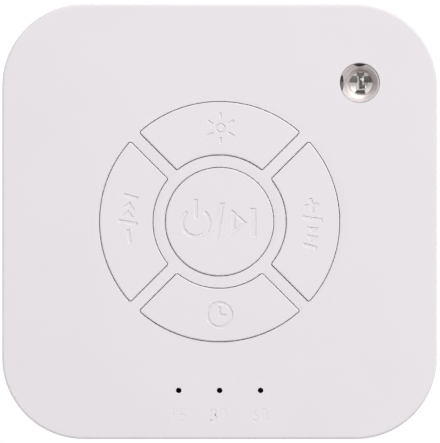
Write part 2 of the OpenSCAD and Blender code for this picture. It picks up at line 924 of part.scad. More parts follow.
lens_top_z = board_z + lens_h;
stem_l = 3;
stem_tail = 1.6;    // below the board
anvil_t = 0.9;
side_anvil = [1, 1.3, anvil_t];
middle_anvil = [0.7, 2.4, anvil_t];
middle_rise = 0.5;

module light_leads() {
    color("#B4B6BA") translate(lamp_at) {
        for (i = [-1, 1]) translate([i * lead_pitch, 0]) {
            rod(lead_r, under_z - stem_tail, board_z + stem_l);
            block(side_anvil, board_z + stem_l);
        }
        rod(lead_r, under_z - stem_tail, board_z + stem_l + middle_rise);
        block(middle_anvil, board_z + stem_l + middle_rise);
    }
}

module light_lens() {
    flange_h = 1;
    flange_w = 0.4;
    color("#E4EEF2", 0.5) difference() {
        translate(lamp_at) rotate_extrude() difference() {
            union() {
                translate([0, board_z]) square([lens_r + flange_w, flange_h]);
                translate([0, board_z]) square([lens_r, lens_h - lens_r]);
                translate([0, lens_top_z - lens_r]) circle(lens_r);
            }
            translate([-2 * lens_r, board_z - lens_h]) square([2 * lens_r, 3 * lens_h]);
        }
        light_leads();
    }
}

// ---- sockets ----

module usb_socket() {
    shell_t = 0.3;
    depth = 5.4;
    color("#BFC2C6") translate([-usb_x, socket_y - depth, usb_mid_z]) rotate([-90, 0, 0]) mirror([0, 1])
        difference() {
            linear_extrude(depth) usb_outline(0);
            translate([0, 0, shell_t]) linear_extrude(depth) usb_outline(-shell_t);
        }
}

module usb_tongue() {
    depth = 5.4;
    back_t = 0.3;
    color("#2A2B2D") translate([-usb_x, socket_y - depth + back_t, usb_mid_z + 0.45])
        translate([-1.8, 0, 0]) cube([3.6, depth - back_t - 0.9, 0.6]);
}

module headphone_jack() {
    body_l = jack_bore_l - 1;
    nose_l = socket_y - (half - wall - 0.2);
    color("#26272A") difference() {
        union() {
            translate([jack_x, half - wall - 0.2 - body_l / 2, 0])
                block([jack_w, body_l, jack_h], under_z - jack_h);
            translate([jack_x, socket_y - nose_l - 1, jack_mid_z]) rotate([-90, 0, 0])
                cylinder(r = jack_nose_r, h = nose_l + 1);
        }
        translate([jack_x, socket_y - jack_bore_l, jack_mid_z]) rotate([-90, 0, 0])
            cylinder(r = jack_bore_r, h = jack_bore_l + over);
    }
}

module jack_terminals() {
    color("#B9BCC0") for (i = [0:2], s = [-1, 1])
        translate([jack_x + s * (jack_w / 2 + 0.4), half - wall - 2.5 - 3.5 * i, 0])
            block([0.8, 1, 0.4], under_z - 0.4);
}

// ---- battery and leads ----

module battery_cell() {
    r = 1.5;
    color("#B9BDC4") translate([-cell_end, 0, cell_z]) union() {
        translate([0, -cell_l / 2 + r, 0]) cube([cell_w, cell_l - 2 * r, cell_t]);
        translate([0, -cell_l / 2, r]) cube([cell_w, cell_l, cell_t - 2 * r]);
        for (y = [-1, 1], z = [r, cell_t - r])
            translate([0, y * (cell_l / 2 - r), z]) rotate([0, 90, 0]) cylinder(r = r, h = cell_w);
    }
}

module battery_tape() {
    margin = 4;
    color("#3B3B3F") block([cell_w - 2 * margin, cell_l - 2 * margin, tape_t], under_z - tape_t);
}

plug_gap = 0.2;
socket_floor = 0.8;

module lead_sockets() {
    color("#EDEBE2") for (s = [-1, 1]) translate([s * plug_x, 0, 0]) difference() {
        block([plug_size.x + socket_t, plug_size.y + socket_t, socket_h], under_z - socket_h);
        block([plug_size.x + plug_gap, plug_size.y + plug_gap, socket_h], under_z - socket_h - socket_floor);
    }
}

module lead_plug(side) {
    color("#F2F0E8") translate([side * plug_x, 0, 0])
        block(plug_size, plug_z);
}

module battery_plug() {
    lead_plug(-1);
}

module speaker_plug() {
    lead_plug(1);
}

lead_gap = 0.2;
rim_lip = 2.8;      // how far the frame's rim reaches in over the seat
rim_in_r = seat_r - rim_lip;
battery_route = [[-cell_end - lead_gap, cell_z + cell_t / 2], [-cell_end - 1.3, cell_z + cell_t / 2 - 0.6],
    [-cell_end - 2.7, plug_z - 0.9], [-cell_end - 4.6, plug_z - 2.9], [-plug_x + 0.3, plug_z - 2.2],
    [-plug_x, plug_z - lead_gap]];
terminal_gap = 0.4;
terminal_size = [1.2, 9, 6];
terminal_x = rim_in_r + frame_t + terminal_gap + terminal_size.x / 2;
terminal_z = speaker_z + frame_t;
speaker_route = [[terminal_x + terminal_size.x / 2 + lead_gap, terminal_z + 4],
    [terminal_x + 3, terminal_z + 3.6], [terminal_x + 5.4, terminal_z + 7], [plug_x, plug_z - 6],
    [plug_x, plug_z - lead_gap]];

module battery_lead_red() {
    color("#B3262B") wire(battery_route, wire_y);
}

module battery_lead_black() {
    color("#1F1F21") wire(battery_route, -wire_y);
}

module speaker_lead_red() {
    color("#B3262B") wire(speaker_route, wire_y);
}

module speaker_lead_black() {
    color("#1F1F21") wire(speaker_route, -wire_y);
}

// ---- loudspeaker ----

ledge_in_r = 12.4;
ledge_r = 16.4;
coil_t = 0.25;
winding_t = 0.35;
winding_l = 3;
winding_drop = 0.5;
former_over = 1.2;
former_lap = 0.3;
coil_clear = 0.3;
pole_r = coil_r - coil_clear;
pole_drop = 0.2;
plate_inset = 1.2;
cone_t = 0.5;
cone_depth = 5.3;
cone_edge_z = speaker_z + cone_t;
cone_neck_z = cone_edge_z + cone_depth;
neck_r = coil_r + coil_t;
window_r = 3.6;
frame_hole_gap = 0.25;

module speaker_frame() {
    web = frame_t;
    color("#4B4E53") difference() {
        union() {
            translate([0, 0, speaker_z]) linear_extrude(frame_t) rounded_square(speaker_w, speaker_corner_r);
            rotate_extrude() polygon([[rim_in_r, speaker_z], [rim_in_r + web, speaker_z],
                [rim_in_r + web, speaker_z + frame_t], [ledge_r, ledge_z],
                [ledge_r, front_plate_z], [ledge_in_r, front_plate_z], [ledge_in_r, ledge_z],
                [ledge_r - web, ledge_z], [rim_in_r, speaker_z + frame_t]]);
        }
        rod(rim_in_r, speaker_z - over, speaker_z + frame_t);
        for (i = [0:3]) rotate(45 + 90 * i) translate([0, 0, speaker_z + basket_h * 0.58])
            rotate([0, 90, 0]) cylinder(r = window_r, h = speaker_w / 2);
        at_corners(speaker_screw_xy, speaker_screw_xy)
            rod(speaker_screw_r + frame_hole_gap, speaker_z - over, speaker_z + frame_t + over);
    }
}

module speaker_front_plate() {
    color("#A9ACB0") tube(magnet_r - plate_inset, neck_r + winding_t + coil_clear, front_plate_z, magnet_z);
}

module speaker_magnet() {
    bore_gap = 2.4;
    color("#3A3B3D") tube(magnet_r, coil_r + bore_gap, magnet_z, yoke_z);
}

module speaker_yoke() {
    color("#A9ACB0") union() {
        rod(magnet_r - plate_inset, yoke_z, yoke_z + yoke_t);
        rod(pole_r, front_plate_z - pole_drop, yoke_z + over);
    }
}

module speaker_cone() {
    color("#2C2D30") rotate_extrude() polygon([[neck_r, cone_neck_z], [cone_r, cone_edge_z],
        [cone_r, cone_edge_z + cone_t], [neck_r, cone_neck_z + cone_t]]);
}

module dust_cap() {
    r = coil_r + 1.3;
    rise = 2.4;
    cap_t = 0.35;
    slope = (cone_neck_z - cone_edge_z) / (cone_r - neck_r);
    edge_z = cone_neck_z - slope * (r - neck_r) - cap_t;
    color("#222326") rotate_extrude() polygon(concat(
        [for (i = [0:10]) let (x = r * i / 10) [x, edge_z - rise * (1 - pow(x / r, 2))]],
        [for (i = [10:-1:0]) let (x = r * i / 10) [x, edge_z + cap_t * 0.8 - rise * (1 - pow(x / r, 2))]]));
}

module voice_coil() {
    wound_z = front_plate_z - winding_drop;
    color("#B8713A") {
        tube(neck_r, coil_r, cone_neck_z - former_lap, magnet_z + former_over);
        tube(neck_r + winding_t, coil_r, wound_z, wound_z + winding_l);
    }
}

module surround() {
    skin = 0.34;
    edge_gap = 0.1;
    land = 1;         // the flat glued under the cone's edge
    r_out = rim_in_r - edge_gap;
    r_in = cone_r - land;
    roll_r = (r_out - cone_r - land) / 2;
    roll_at = [cone_r - edge_gap + roll_r, speaker_z + skin / 2];
    lip = speaker_z + skin;
    color("#1F2022") rotate_extrude() polygon(concat(
        [[r_in, lip], [r_in, speaker_z]],
        arc(roll_at, roll_r, 180, 360, 14),
        [[r_out, speaker_z], [r_out, lip]],
        arc(roll_at, roll_r - skin, 360, 180, 14)));
}

module spider() {
    wave = 0.25;
    skin = 0.2;
    glue = 0.03;
    rim = 1.4;        // the flat glued under the ledge
    r0 = neck_r + glue;
    r1 = ledge_in_r + rim + 0.4;
    mid = ledge_z - skin - wave - glue;
    steps = 40;
    color("#C9A25B") rotate_extrude() polygon(concat(
        [for (i = [0:steps]) let (f = i / steps) [r0 + (r1 - rim - r0) * f, mid - wave * sin(1440 * f)]],
        [[r1, mid], [r1, ledge_z - glue], [r1 - rim, ledge_z - glue]],
        [for (i = [steps:-1:0]) let (f = i / steps)
            [r0 + (r1 - rim - r0) * f, mid + skin - wave * sin(1440 * f)]]));
}

module speaker_terminals() {
    color("#8A5A33") translate([terminal_x, 0, 0]) block(terminal_size, terminal_z);
}

module speaker_gasket() {
    color("#2A2A2C") tube(seat_r, seat_in_r, seat_z, speaker_z);
}

module dust_screen() {
    margin = 0.3;
    cloth_t = 0.25;
    color("#303134") rod(seat_in_r - margin, floor_z, floor_z + cloth_t);
}

top_shell();
base_cover();
power_key();
light_key();
timer_key();
previous_key();
next_key();
keypad_mat();
power_dome();
light_dome();
timer_dome();
previous_dome();
next_dome();
key_contacts();
main_board();
board_screws();
light_cup();
light_lens();
light_leads();
timer_lamps();
timer_baffle();
sound_chip();
memory_chip();
amplifier_chip();
board_components();
usb_socket();
usb_tongue();
headphone_jack();
jack_terminals();
battery_cell();
battery_tape();
lead_sockets();
battery_plug();
speaker_plug();
battery_lead_red();
battery_lead_black();
speaker_lead_red();
speaker_lead_black();
speaker_frame();
speaker_front_plate();
speaker_magnet();
speaker_yoke();
speaker_cone();
dust_cap();
voice_coil();
surround();
spider();
speaker_terminals();
speaker_gasket();
dust_screen();
speaker_screws();
housing_screws();
foot(-1, -1);  // front_left_foot
foot(1, -1);  // front_right_foot
foot(-1, 1);  // rear_left_foot
foot(1, 1);  // rear_right_foot
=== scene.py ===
import math

import bmesh
import bpy
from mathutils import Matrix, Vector
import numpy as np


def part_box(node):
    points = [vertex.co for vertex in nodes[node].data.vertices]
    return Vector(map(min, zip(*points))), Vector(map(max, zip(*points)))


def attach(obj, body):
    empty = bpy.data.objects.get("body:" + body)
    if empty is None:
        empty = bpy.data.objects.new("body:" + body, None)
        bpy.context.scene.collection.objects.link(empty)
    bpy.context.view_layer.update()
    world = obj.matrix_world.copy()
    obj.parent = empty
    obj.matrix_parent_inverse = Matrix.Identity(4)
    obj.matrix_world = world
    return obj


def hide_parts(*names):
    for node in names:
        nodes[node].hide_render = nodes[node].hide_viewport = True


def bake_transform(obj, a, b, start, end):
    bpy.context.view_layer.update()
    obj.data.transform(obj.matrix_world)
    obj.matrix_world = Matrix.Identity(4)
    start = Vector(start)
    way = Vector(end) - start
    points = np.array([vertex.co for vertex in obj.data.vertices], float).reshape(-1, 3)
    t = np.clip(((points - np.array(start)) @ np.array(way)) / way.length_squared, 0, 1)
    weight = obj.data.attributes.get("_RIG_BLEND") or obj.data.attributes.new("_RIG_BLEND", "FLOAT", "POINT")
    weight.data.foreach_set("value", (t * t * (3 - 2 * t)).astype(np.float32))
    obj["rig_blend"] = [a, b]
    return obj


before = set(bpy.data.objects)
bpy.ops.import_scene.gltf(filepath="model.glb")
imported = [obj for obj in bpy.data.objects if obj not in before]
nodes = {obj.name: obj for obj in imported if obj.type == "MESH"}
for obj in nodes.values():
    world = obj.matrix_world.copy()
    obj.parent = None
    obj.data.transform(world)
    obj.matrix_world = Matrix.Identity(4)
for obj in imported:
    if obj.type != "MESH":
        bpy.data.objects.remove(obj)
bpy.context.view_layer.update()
mm = 0.001
near = 0.02 * mm    # two heights closer than this are the same
weld = 0.002 * mm    # points closer than this become one
flatWithin = math.radians(0.3)    # faces that turn less than this become one
white = (1, 1, 1, 1)
finishes = {}    # every material, by its name
print("frame:", len(nodes), "nodes")


# helpers that every piece uses

def onlyActive(obj):
    bpy.ops.object.select_all(action="DESELECT")
    obj.select_set(True)
    bpy.context.view_layer.objects.active = obj


def openMesh(obj, kind="EDGE"):
    onlyActive(obj)
    bpy.ops.object.mode_set(mode="EDIT")
    bpy.ops.mesh.select_mode(type=kind)
    bpy.ops.mesh.select_all(action="DESELECT")
    return bmesh.from_edit_mesh(obj.data)


def closeMesh():
    bpy.ops.object.mode_set(mode="OBJECT")


def pick(obj, items, test):
    # selects the edges or faces that pass the test, in edit mode
    count = 0
    for item in items:
        if test(item):
            item.select_set(True)
            count += 1
    bmesh.update_edit_mesh(obj.data)
    return count


def addModifier(obj, kind, **settings):
    onlyActive(obj)
    bpy.ops.object.modifier_add(type=kind)
    modifier = obj.modifiers[-1]
    for key, value in settings.items():
        setattr(modifier, key, value)
    bpy.ops.object.modifier_apply(modifier=modifier.name)


def smoothOver(obj, degrees=35):
    # rounds the shading of soft edges and keeps flat faces flat
    onlyActive(obj)
    bpy.ops.object.shade_smooth_by_angle(angle=math.radians(degrees))
    addModifier(obj, "WEIGHTED_NORMAL", keep_sharp=True, weight=80)


def weldedCopy(node, name, flatten=True):
    # a copy of a frame piece with its loose triangles merged and its flat faces whole
    obj = nodes[node].copy()
    obj.data = nodes[node].data.copy()
    obj.name = name
    obj.data.name = name
    obj.parent = None
    for key in list(obj.keys()):
        if key.startswith("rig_"):
            del obj[key]
    bpy.context.scene.collection.objects.link(obj)
    onlyActive(obj)
    bpy.ops.mesh.customdata_custom_splitnormals_clear()
    bpy.ops.object.mode_set(mode="EDIT")
    bpy.ops.mesh.select_all(action="SELECT")
    bpy.ops.mesh.remove_doubles(threshold=weld)
    if flatten:
        bpy.ops.mesh.dissolve_limited(angle_limit=flatWithin, delimit={"NORMAL"})
    closeMesh()
    return obj


def boxMiddle(node):
    low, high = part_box(node)
    return (low + high) / 2


def isAt(edge, axis, place):
    return all(abs(v.co[axis] - place) < near for v in edge.verts)


def isRim(edge, place, axis=2, least=30):
    # a corner between two faces that lies in one plane across the axis
    return isAt(edge, axis, place) and len(edge.link_faces) == 2 \
        and math.degrees(edge.calc_face_angle(0)) > least


def lowest(edge):
    # how far down the faces at an edge reach
    return min(v.co.z for f in edge.link_faces for v in f.verts)


def middle(edge):
    return (edge.verts[0].co + edge.verts[1].co) / 2


def facesUp(face, least=0.9):
    return face.normal.z > least


def bevelRims(obj, rim, test):
    # a rim is the width of the rounding and the number of its steps
    width, steps = rim
    mesh = openMesh(obj)
    count = pick(obj, mesh.edges, test)
    if count:
        bpy.ops.mesh.bevel(offset=width, offset_type="OFFSET", segments=steps, profile=0.5,
                           affect="EDGES", clamp_overlap=False)
    closeMesh()
    return count


def softSink(obj, faceZ, depth, steps):
    # gives a sharp sunk mark soft sides: its floor is lifted to the face, then let down in narrow steps
    mesh = openMesh(obj, "FACE")
    count = pick(obj, mesh.faces, lambda f: facesUp(f, least=0.99)
                 and abs(f.calc_center_median().z - faceZ + depth) < near)
    bpy.ops.transform.translate(value=(0, 0, depth))
    for width, drop in steps:
        bpy.ops.mesh.inset(thickness=width, depth=-drop)
    bpy.ops.mesh.select_all(action="SELECT")
    bpy.ops.mesh.remove_doubles(threshold=weld)
    closeMesh()
    return count


def spinShape(name, outline, centre, steps=64):
    # turns an outline of (radius, height) pairs round an upright axis
    bpy.ops.mesh.primitive_plane_add(size=1 * mm, location=(0, 0, 0))
    obj = bpy.context.object
    obj.name = name
    obj.data.name = name
    openMesh(obj, "VERT")
    bpy.ops.mesh.select_all(action="SELECT")
    bpy.ops.mesh.merge(type="CENTER")
    bpy.ops.transform.translate(value=(centre.x + outline[0][0], centre.y, outline[0][1]))
    for (r0, z0), (r1, z1) in zip(outline, outline[1:]):
        bpy.ops.mesh.extrude_region_move(TRANSFORM_OT_translate={"value": (r1 - r0, 0, z1 - z0)})
    bpy.ops.mesh.select_all(action="SELECT")
    bpy.ops.mesh.spin(steps=steps, angle=2 * math.pi, center=(centre.x, centre.y, 0), axis=(0, 0, 1))
    bpy.ops.mesh.select_all(action="SELECT")
    bpy.ops.mesh.remove_doubles(threshold=weld)
    bpy.ops.mesh.normals_make_consistent(inside=False)
    closeMesh()
    return obj


def boxAt(name, low, high):
    # a block between two corners, as the start of a shape
    bpy.ops.mesh.primitive_cube_add(size=1, location=(low + high) / 2, scale=high - low)
    obj = bpy.context.object
    obj.name = name
    obj.data.name = name
    bpy.ops.object.transform_apply(location=True, rotation=True, scale=True)
    return obj


def joinAll(parts, name):
    bpy.ops.object.select_all(action="DESELECT")
    for part in parts:
        part.select_set(True)
    bpy.context.view_layer.objects.active = parts[0]
    bpy.ops.object.join()
    parts[0].name = name
    parts[0].data.name = name
    return parts[0]


def ease(t):
    t = min(max(t, 0), 1)
    return t * t * (3 - 2 * t)


def finishPiece(piece, finish, slot, body, *replaced):
    piece.data.materials.clear()
    piece.data.materials.append(finishes[finish])
    if body:
        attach(piece, body)
    if replaced:
        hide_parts(*replaced)


def secondTone(piece, finish, test):
    # the faces that pass the test get a finish of their own
    piece.data.materials.append(finishes[finish])
    mesh = openMesh(piece, "FACE")
    pick(piece, mesh.faces, test)
    piece.active_material_index = len(piece.data.materials) - 1
    bpy.ops.object.material_slot_assign()
    closeMesh()


def newFinish(name):
    material = bpy.data.materials.new(name)
    material.use_nodes = True
    finishes[name] = material
    return material.node_tree, material.node_tree.nodes["Principled BSDF"]


def setSockets(node, sockets):
    for name, value in sockets.items():
        node.inputs[name].default_value = value


# camera, floor and lights

# width and offsets are in pixels, and scale is the size of one pixel at the height planeZ
view = {"width": 440, "scale": 0.21644 * mm, "offX": 0.4, "offY": -0.15, "planeZ": 48.6 * mm,
        "lens": 400, "sensor": 36, "clipFrom": 0.01, "clipTo": 20}
# a pool of light under the machine that fades away
floorSettings = {"size": 5, "drop": 0.05 * mm, "tone": (0.2, 0.2, 0.2, 1), "roughness": 0.9,
                 "glow": 0.89, "farGlow": 0.34, "litTo": 70 * mm, "fadeTo": 240 * mm}
softboxes = {"key_softbox": {"azimuth": 68, "elevation": 47, "distance": 1.8, "size": 1, "power": 28},
             "fill_softbox": {"azimuth": 208, "elevation": 9, "distance": 1.2, "size": 0.8, "power": 6.4},
             "glint_softbox": {"azimuth": -39, "elevation": 34, "distance": 1.1, "size": 0.25, "power": 2.8}}
sky = {"Color": white, "Strength": 0.26}


def setCamera():
    s = view
    distance = s["lens"] / s["sensor"] * s["width"] * s["scale"]
    place = (s["offX"] * s["scale"], -s["offY"] * s["scale"], s["planeZ"] + distance)
    bpy.ops.object.camera_add(location=place, rotation=(0, 0, 0))
    camera = bpy.context.object
    camera.name = "top_camera"
    camera.data.sensor_fit = "HORIZONTAL"
    camera.data.sensor_width = s["sensor"]
    camera.data.lens = s["lens"]
    camera.data.clip_start = s["clipFrom"]
    camera.data.clip_end = s["clipTo"]
    bpy.context.scene.camera = camera


def setFloor():
    s = floorSettings
    bpy.ops.mesh.primitive_plane_add(size=s["size"], location=(0, 0, -s["drop"]))
    floor = bpy.context.object
    floor.name = "studio_floor"
    tree, shader = newFinish("paleFloor")
    setSockets(shader, {"Base Color": s["tone"], "Roughness": s["roughness"], "Emission Color": white})
    place = tree.nodes.new("ShaderNodeTexCoord")
    away = tree.nodes.new("ShaderNodeVectorMath")
    away.operation = "LENGTH"
    fade = tree.nodes.new("ShaderNodeMapRange")
    fade.interpolation_type = "SMOOTHSTEP"
    setSockets(fade, {"From Min": s["litTo"], "From Max": s["fadeTo"],
                      "To Min": s["glow"], "To Max": s["farGlow"]})
    tree.links.new(place.outputs["Object"], away.inputs[0])
    tree.links.new(away.outputs["Value"], fade.inputs["Value"])
    tree.links.new(fade.outputs["Result"], shader.inputs["Emission Strength"])
    floor.data.materials.append(finishes["paleFloor"])


def setSoftbox(name, azimuth, elevation, distance, size, power):
    # a round soft light that looks at the middle of the floor
    az, el = math.radians(azimuth), math.radians(elevation)
    place = Vector((math.cos(el) * math.cos(az), math.cos(el) * math.sin(az), math.sin(el))) * distance
    bpy.ops.object.light_add(type="AREA", location=place)
    lamp = bpy.context.object
    lamp.name = name
    lamp.rotation_euler = (-place).to_track_quat("-Z", "Y").to_euler()
    lamp.data.shape = "DISK"
    lamp.data.size = size
    lamp.data.energy = power


def setSky():
    world = bpy.data.worlds.new("studioWorld")
    world.use_nodes = True
    setSockets(world.node_tree.nodes["Background"], sky)
    bpy.context.scene.world = world
    bpy.context.scene.view_settings.view_transform = "Standard"


setCamera()
setFloor()
for name, settings in softboxes.items():
    setSoftbox(name, **settings)
setSky()
print("studio set")


# patterns for the finishes, all on Object coordinates

def placeOf(tree, stretch=None):
    place = tree.nodes.new("ShaderNodeTexCoord").outputs["Object"]
    if stretch is None:
        return place
    mapping = tree.nodes.new("ShaderNodeMapping")
    mapping.inputs["Scale"].default_value = stretch
    tree.links.new(place, mapping.inputs["Vector"])
    return mapping.outputs["Vector"]


def noiseOn(tree, scale, detail=2, stretch=None):
    noise = tree.nodes.new("ShaderNodeTexNoise")
    setSockets(noise, {"Scale": scale, "Detail": detail})
    tree.links.new(placeOf(tree, stretch), noise.inputs["Vector"])
    return noise.outputs["Fac"]


def cellsOn(tree, scale):
    cells = tree.nodes.new("ShaderNodeTexVoronoi")
    cells.inputs["Scale"].default_value = scale
    tree.links.new(placeOf(tree), cells.inputs["Vector"])
    return cells.outputs["Distance"]


def wavesOn(tree, pitch, direction):
    # at a scale of 1 the bands across an axis repeat every pi / 10
    waves = tree.nodes.new("ShaderNodeTexWave")
    waves.bands_direction = direction
    waves.inputs["Scale"].default_value = math.pi / 10 / pitch
    tree.links.new(placeOf(tree), waves.inputs["Vector"])
    return waves.outputs["Fac"]


def mathOn(tree, operation, a, b):
    node = tree.nodes.new("ShaderNodeMath")
    node.operation = operation
    for socket, value in zip(node.inputs, (a, b)):
        if isinstance(value, (int, float)):
            socket.default_value = value
        else:
            tree.links.new(value, socket)
    return node.outputs["Value"]


def tint(tree, shader, pattern, low, high, start=0.3, end=0.7):
    ramp = tree.nodes.new("ShaderNodeValToRGB")
    ramp.color_ramp.elements[0].position = start
    ramp.color_ramp.elements[1].position = end
    ramp.color_ramp.elements[0].color = (*low, 1)
    ramp.color_ramp.elements[1].color = (*high, 1)
    tree.links.new(pattern, ramp.inputs["Fac"])
    tree.links.new(ramp.outputs["Color"], shader.inputs["Base Color"])


def varyRoughness(tree, shader, pattern, low, high):
    spread = tree.nodes.new("ShaderNodeMapRange")
    setSockets(spread, {"To Min": low, "To Max": high})
    tree.links.new(pattern, spread.inputs["Value"])
    tree.links.new(spread.outputs["Result"], shader.inputs["Roughness"])


def addBump(tree, shader, pattern, strength, depth):
    bump = tree.nodes.new("ShaderNodeBump")
    setSockets(bump, {"Strength": strength, "Distance": depth})
    tree.links.new(pattern, bump.inputs["Height"])
    tree.links.new(bump.outputs["Normal"], shader.inputs["Normal"])


# finishes with broad patches of colour and a fine grain; patch and grain are the two noise scales
grainDepth = 0.01 * mm
plasticIor = 1.46
grained = {
    "housingPlastic": {"low": (0.752, 0.716, 0.744), "high": (0.764, 0.729, 0.756), "patch": 38,
                       "grain": 5000, "rough": (0.58, 0.66), "bump": 0.25, "gloss": 0.35},
    "keyPlastic": {"low": (0.756, 0.720, 0.748), "high": (0.767, 0.732, 0.759), "patch": 38, "grain": 5600,
                   "rough": (0.58, 0.66), "bump": 0.25, "gloss": 0.35},
    "cupPlastic": {"low": (0.72, 0.67, 0.66), "high": (0.75, 0.705, 0.695), "patch": 300, "grain": 2500,
                   "rough": (0.3, 0.42), "bump": 0.1},
    # painted shade: a darker plastic laid in the left-hand notch to stand in for the shade in that recess
    "notchPaintedShade": {"low": (0.26, 0.25, 0.255), "high": (0.30, 0.29, 0.295), "patch": 300, "grain": 2500,
                      "rough": (0.4, 0.5), "bump": 0.1},
    # painted light: a faint glow stands in for the light that the dome above gathers into the cloudy resin
    "milkyEpoxyPaintedGlow": {"low": (0.84, 0.81, 0.79), "high": (0.88, 0.855, 0.84), "patch": 900, "grain": 3000,
                   "rough": (0.4, 0.6), "bump": 0.1,
                   "extra": {"Emission Color": (1, 0.95, 0.92, 1), "Emission Strength": 0.28}},
    "keypadSilicone": {"low": (0.60, 0.615, 0.63), "high": (0.66, 0.675, 0.69), "patch": 60, "grain": 3000,
                       "rough": (0.45, 0.6), "bump": 0.2, "extra": {"Transmission Weight": 0.15}},
    "leadTin": {"low": (0.13, 0.12, 0.118), "high": (0.21, 0.20, 0.195), "patch": 900, "grain": 5000,
                "rough": (0.35, 0.5), "bump": 0.3, "metallic": 0.4},
    "tinPlate": {"low": (0.60, 0.60, 0.61), "high": (0.72, 0.72, 0.73), "patch": 200, "grain": 3000,
                 "rough": (0.2, 0.34), "bump": 0.3, "metallic": 1.0, "stretch": (1, 0.08, 1)},
    "goldPlate": {"low": (0.80, 0.56, 0.22), "high": (0.88, 0.66, 0.30), "patch": 300, "grain": 3000,
                  "rough": (0.18, 0.3), "bump": 0.2, "metallic": 1.0},
    "zincSteel": {"low": (0.46, 0.47, 0.48), "high": (0.60, 0.60, 0.61), "patch": 400, "grain": 2600,
                  "rough": (0.25, 0.42), "bump": 0.4, "metallic": 1.0},
    "blackPlastic": {"low": (0.012, 0.012, 0.013), "high": (0.022, 0.022, 0.024), "patch": 90, "grain": 4000,
                     "rough": (0.35, 0.5), "bump": 0.3},
    "chipEpoxy": {"low": (0.016, 0.016, 0.018), "high": (0.03, 0.03, 0.032), "patch": 200, "grain": 3500,
                  "rough": (0.5, 0.7), "bump": 0.5},
    "ceramicTan": {"low": (0.36, 0.25, 0.13), "high": (0.46, 0.33, 0.19), "patch": 500, "grain": 4000,
                   "rough": (0.4, 0.55), "bump": 0.3},
    "ferriteGrey": {"low": (0.028, 0.028, 0.03), "high": (0.055, 0.054, 0.055), "patch": 160, "grain": 2200,
                    "rough": (0.45, 0.7), "bump": 0.6},
    "canSleeve": {"low": (0.42, 0.43, 0.45), "high": (0.56, 0.57, 0.58), "patch": 300, "grain": 3000,
                  "rough": (0.25, 0.4), "bump": 0.3, "metallic": 0.9},
    "lampPhosphor": {"low": (0.72, 0.60, 0.16), "high": (0.82, 0.72, 0.30), "patch": 800, "grain": 4000,
                     "rough": (0.2, 0.35), "bump": 0.3},
    "nylonWhite": {"low": (0.74, 0.72, 0.64), "high": (0.80, 0.78, 0.70), "patch": 120, "grain": 3000,
                   "rough": (0.4, 0.55), "bump": 0.3},
    "redSleeve": {"low": (0.34, 0.012, 0.014), "high": (0.46, 0.025, 0.025), "patch": 150, "grain": 3000,
                  "rough": (0.35, 0.5), "bump": 0.3},
    "blackSleeve": {"low": (0.012, 0.012, 0.013), "high": (0.022, 0.022, 0.023), "patch": 150, "grain": 3000,
                    "rough": (0.35, 0.5), "bump": 0.3},
    "powderCoat": {"low": (0.018, 0.018, 0.02), "high": (0.032, 0.032, 0.034), "patch": 150, "grain": 1800,
                   "rough": (0.4, 0.55), "bump": 0.8},
    "surroundRubber": {"low": (0.010, 0.010, 0.010), "high": (0.020, 0.020, 0.021), "patch": 150,
                       "grain": 2600, "rough": (0.5, 0.65), "bump": 0.5},
    "footRubber": {"low": (0.030, 0.030, 0.032), "high": (0.052, 0.052, 0.055), "patch": 140, "grain": 2200,
                   "rough": (0.6, 0.8), "bump": 0.9},
    "phenolicSheet": {"low": (0.16, 0.07, 0.025), "high": (0.27, 0.13, 0.05), "patch": 300, "grain": 2500,
                      "rough": (0.4, 0.55), "bump": 0.4, "stretch": (1, 0.15, 1)},
}


def makeGrained(name, low, high, patch, grain, rough, bump, metallic=0.0, gloss=0.5, stretch=None,
                extra=None):
    tree, shader = newFinish(name)
    setSockets(shader, {"IOR": plasticIor, "Specular IOR Level": gloss, "Metallic": metallic})
    setSockets(shader, extra or {})
    tint(tree, shader, noiseOn(tree, patch, detail=3), low, high)
    fine = noiseOn(tree, grain, stretch=stretch)
    varyRoughness(tree, shader, fine, *rough)
    addBump(tree, shader, fine, bump, grainDepth)


for name, facts in grained.items():
    makeGrained(name, **facts)

# threads that cross: the product of two rows of waves
woven = {"screenCloth": {"low": (0.006, 0.006, 0.007), "high": (0.05, 0.05, 0.052), "pitch": 0.42 * mm,
                         "roughness": 0.85, "sheen": 0.2, "bump": 0.8, "depth": 0.1 * mm},
         "spiderCloth": {"low": (0.36, 0.22, 0.07), "high": (0.66, 0.47, 0.20), "pitch": 0.3 * mm,
                         "roughness": 0.8, "sheen": 0.2, "bump": 0.8, "depth": 0.05 * mm}}


def makeWoven(name, low, high, pitch, roughness, sheen, bump, depth):
    tree, shader = newFinish(name)
    setSockets(shader, {"Roughness": roughness, "Sheen Weight": sheen})
    weave = mathOn(tree, "MULTIPLY", wavesOn(tree, pitch, "X"), wavesOn(tree, pitch, "Y"))
    tint(tree, shader, weave, low, high, start=0.1, end=0.8)
    addBump(tree, shader, weave, bump, depth)


for name, facts in woven.items():
    makeWoven(name, **facts)

foam = {"low": (0.006, 0.006, 0.006), "high": (0.03, 0.03, 0.031), "cell": 0.35 * mm, "roughness": 0.85,
        "bump": 0.7, "depth": 0.105 * mm}


def makeFoam():
    s = foam
    tree, shader = newFinish("blackFoam")
    shader.inputs["Roughness"].default_value = s["roughness"]
    cells = cellsOn(tree, 1 / s["cell"])
    tint(tree, shader, cells, s["low"], s["high"], start=0.1, end=0.6)
    addBump(tree, shader, cells, s["bump"], s["depth"])


# pressed pulp with short fibres
paper = {"low": (0.016, 0.016, 0.018), "high": (0.045, 0.045, 0.048), "fibres": 1100, "detail": 6,
         "stretch": (1, 1, 0.3), "rough": (0.75, 0.95), "bump": 0.6, "depth": 0.06 * mm}


def makePaper():
    s = paper
    tree, shader = newFinish("conePaper")
    fibres = noiseOn(tree, s["fibres"], s["detail"], s["stretch"])
    tint(tree, shader, fibres, s["low"], s["high"])
    varyRoughness(tree, shader, fibres, *s["rough"])
    addBump(tree, shader, fibres, s["bump"], s["depth"])


